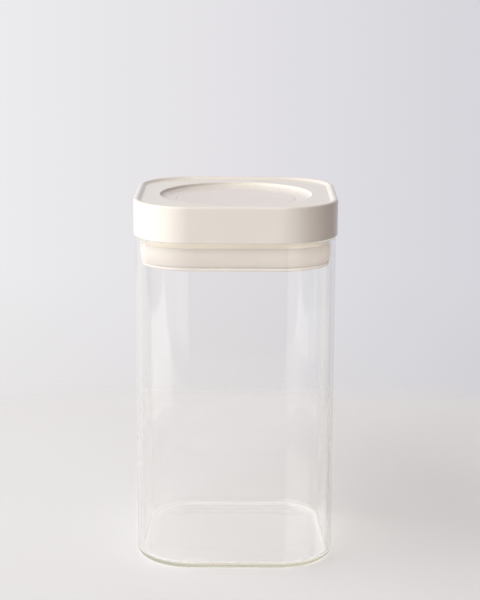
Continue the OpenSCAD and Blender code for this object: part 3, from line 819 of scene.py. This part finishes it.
def makeFloor(look):
    mesh = bpy.data.meshes.new("floor")
    reach, height = look["reach"], look["height"]
    mesh.from_pydata([(-reach, -reach, height), (reach, -reach, height), (reach, reach, height),
                      (-reach, reach, height)], [], [(0, 1, 2, 3)])
    floor = bpy.data.objects.new("floor", mesh)
    bpy.context.scene.collection.objects.link(floor)
    material, nodes, links, shader, output = newMaterial("paperFloor")
    setSockets(shader, {"Roughness": look["roughness"], "Specular IOR Level": look["gloss"]})
    place = nodes.new("ShaderNodeTexCoord")
    split = nodes.new("ShaderNodeSeparateXYZ")
    links.new(place.outputs["Object"], split.inputs["Vector"])
    # painted light falloff: the floor's colour runs lighter towards the left and back
    backwards = addMath(nodes, links, "SUBTRACT", split.outputs["Y"], split.outputs["X"])
    along = mapRange(nodes, links, backwards, look["paintedLightStart"], look["paintedLightEnd"])
    links.new(mixColour(nodes, links, along, look["near"], look["far"]), shader.inputs["Base Color"])
    powers = [addMath(nodes, links, "POWER", addMath(nodes, links, "ABSOLUTE", split.outputs[axis]),
                      look["squareness"]) for axis in ("X", "Y")]
    away = addMath(nodes, links, "POWER", addMath(nodes, links, "ADD", *powers), 1 / look["squareness"])
    fade = mapRange(nodes, links, away, look["fadeStart"], look["fadeEnd"], smooth=True)
    clear = nodes.new("ShaderNodeBsdfTransparent")
    mixShaders(nodes, links, fade, shader.outputs["BSDF"], clear.outputs["BSDF"], output)
    mesh.materials.append(material)


worldLook = {
    # the backdrop from left to right, over this far to each side, and its foot where it meets the floor
    "backdrop": [(0.0, linear(236, 235, 237)), (0.5, linear(227, 225, 229)), (1.0, linear(213, 213, 219))],
    "backdropReach": 0.15, "footStart": -0.2, "footEnd": -0.28, "behindStart": 0.6, "behindEnd": 0.85,
    "backdropFoot": linear(250, 249, 247),
    # what gloss and glass see round the object, by degrees from the front: left is negative
    "around": [(-180, linear(227, 225, 229)), (-150, linear(236, 235, 237)), (-128, linear(248, 246, 245)),
               (-110, linear(262, 259, 256)), (-92, linear(262, 259, 256)), (-87, linear(320, 316, 311)),
               (-43, linear(320, 316, 311)), (-39, linear(248, 245, 242)), (-20, linear(240, 238, 236)),
               (14, linear(238, 236, 235)), (18, linear(286, 282, 279)), (40, linear(296, 292, 288)),
               (50, linear(262, 258, 254)), (82, linear(256, 252, 248)), (95, linear(212, 206, 202)),
               (108, linear(205, 199, 195)), (124, linear(178, 172, 170)), (150, linear(208, 207, 211)),
               (180, linear(227, 225, 229))],
    "room": linear(186, 184, 184),
    # how far below the horizon the pale table ends and the dimmer room begins, in degrees
    "tableEdge": [(-180, 8.0), (-110, 8.0), (-106, 12.0), (-99, 12.7), (-93, 13.0), (-79, 13.1),
                  (-69.5, 12.8), (-62, 12.3), (-60.3, 11.8), (-59.1, 11.4), (-57, 12.3), (-54.7, 12.5),
                  (-52.4, 13.0), (-50.5, 13.5), (-46, 13.9), (-42, 14.5), (-39.7, 14.75), (-31, 15.0),
                  (-28, 15.3), (-20.5, 15.6), (-9, 15.7), (1.2, 15.8), (5.1, 15.6), (13.1, 15.0),
                  (16.5, 9.0), (180, 8.0)],
    "edgeBlur": 0.3,
    "ambientLeft": linear(196, 196, 198), "ambientRight": linear(126, 106, 96),
    "ambientInJar": linear(282, 272, 262),    # the glass walls spread light evenly over what they hold
}


def makeRamp(nodes, links, value, stops):
    ramp = nodes.new("ShaderNodeValToRGB")
    elements = ramp.color_ramp.elements
    elements[0].position, elements[0].color = stops[0]
    elements[1].position, elements[1].color = stops[-1]
    for position, colour in stops[1:-1]:
        elements.new(position).color = colour
    links.new(value, ramp.inputs["Fac"])
    return ramp.outputs["Color"]


def makeWorld(look):
    world = bpy.data.worlds.new("studioWorld")
    bpy.context.scene.world = world
    world.use_nodes = True
    nodes, links = world.node_tree.nodes, world.node_tree.links
    nodes.clear()
    output = nodes.new("ShaderNodeOutputWorld")
    place = nodes.new("ShaderNodeTexCoord")
    split = nodes.new("ShaderNodeSeparateXYZ")
    links.new(place.outputs["Generated"], split.inputs["Vector"])
    across = mapRange(nodes, links, split.outputs["X"], -look["backdropReach"], look["backdropReach"])
    dimming = nodes.new("ShaderNodeMix")
    dimming.data_type, dimming.blend_type = "RGBA", "MULTIPLY"
    links.new(mapRange(nodes, links, split.outputs["Z"], look["footStart"], look["footEnd"]),
              dimming.inputs["Factor"])
    links.new(makeRamp(nodes, links, across, look["backdrop"]), dimming.inputs["A"])
    dimming.inputs["B"].default_value = look["backdropFoot"]
    towards = addMath(nodes, links, "MULTIPLY", split.outputs["Y"], -1.0)
    turn = addMath(nodes, links, "ARCTAN2", split.outputs["X"], towards)
    turned = mapRange(nodes, links, turn, -math.pi, math.pi)
    lit = makeRamp(nodes, links, turned, [((angle + 180) / 360, colour) for angle, colour in look["around"]])
    deepest = 20.0    # a ramp holds values up to 1, so the drops are carried as shares of this many degrees
    edges = [((angle + 180) / 360, (drop / deepest,) * 3 + (1.0,)) for angle, drop in look["tableEdge"]]
    edge = addMath(nodes, links, "MULTIPLY", makeRamp(nodes, links, turned, edges), deepest)
    flat = addMath(nodes, links, "SQRT", addMath(nodes, links, "SUBTRACT", 1.0, addMath(
        nodes, links, "POWER", split.outputs["Z"], 2.0)))
    drop = addMath(nodes, links, "DEGREES", addMath(nodes, links, "ARCTAN2", addMath(
        nodes, links, "MULTIPLY", split.outputs["Z"], -1.0), flat))
    onTable = mapRange(nodes, links, addMath(nodes, links, "SUBTRACT", drop, edge), -look["edgeBlur"],
                       look["edgeBlur"], smooth=True)
    around = mixColour(nodes, links, onTable, look["room"], lit)
    behind = mapRange(nodes, links, split.outputs["Y"], look["behindStart"], look["behindEnd"], smooth=True)
    seenColour = mixColour(nodes, links, behind, around, dimming.outputs["Result"])
    seen = nodes.new("ShaderNodeBackground")
    links.new(seenColour, seen.inputs["Color"])
    ambientColour = mixColour(nodes, links, mapRange(nodes, links, split.outputs["X"], -1.0, 1.0),
                              look["ambientLeft"], look["ambientRight"])
    rays = nodes.new("ShaderNodeLightPath")
    inJar = addMath(nodes, links, "COMPARE", rays.outputs["Transparent Depth"], 2.0, 0.5)
    ambient = nodes.new("ShaderNodeBackground")
    links.new(mixColour(nodes, links, inJar, ambientColour, look["ambientInJar"]), ambient.inputs["Color"])
    sharp = addMath(nodes, links, "MAXIMUM", rays.outputs["Is Camera Ray"], rays.outputs["Is Glossy Ray"])
    direct = addMath(nodes, links, "MAXIMUM", sharp, rays.outputs["Is Transmission Ray"])
    mixShaders(nodes, links, direct, ambient.outputs["Background"], seen.outputs["Background"], output)


def addSoftbox(name, look):
    lamp = bpy.data.lights.new(name, "AREA")
    lamp.shape = "RECTANGLE"
    lamp.size, lamp.size_y = look["size"]
    lamp.energy = look["power"]
    lamp.color = look["colour"]
    holder = bpy.data.objects.new(name, lamp)
    holder.location = look["place"]
    holder.visible_glossy = False    # gloss sees the pale surroundings instead of a bare lamp
    holder.rotation_mode = "QUATERNION"
    holder.rotation_quaternion = (Vector(look["aim"]) - Vector(look["place"])).to_track_quat("-Z", "Y")
    bpy.context.scene.collection.objects.link(holder)


makeFloor(floorLook)
makeWorld(worldLook)
addSoftbox("keySoftbox", {"place": (-2.2, -1.02, 1.35), "aim": (0, 0, 0.1), "size": (4.0, 3.8),
                          "power": 129, "colour": (1.0, 0.985, 0.96)})
print("floor, surroundings and lamp made")

cameraForm = {"place": (3.7 * mm, -825.2 * mm, 311.2 * mm), "tiltDown": 12.65, "pan": -0.10, "roll": 0.23,
              "lens": 99.84}


def makeCamera(form):
    data = bpy.data.cameras.new("frontCamera")
    data.lens = form["lens"]
    data.sensor_width = 36.0
    data.clip_start = 0.01
    camera = bpy.data.objects.new("frontCamera", data)
    pan, tilt = math.radians(form["pan"]), math.radians(form["tiltDown"])
    forward = Vector((math.sin(pan) * math.cos(tilt), math.cos(pan) * math.cos(tilt), -math.sin(tilt)))
    roll = Quaternion((0, 0, 1), math.radians(form["roll"]))
    camera.rotation_mode = "QUATERNION"
    camera.rotation_quaternion = forward.to_track_quat("-Z", "Y") @ roll
    camera.location = form["place"]
    bpy.context.scene.collection.objects.link(camera)
    bpy.context.scene.camera = camera


makeCamera(cameraForm)

scene = bpy.context.scene
scene.view_settings.view_transform = "Standard"
scene.cycles.max_bounces = 24    # a ray crosses up to eight faces of glass on its way through
scene.cycles.transmission_bounces = 24
scene.cycles.transparent_max_bounces = 24
scene.cycles.glossy_bounces = 12
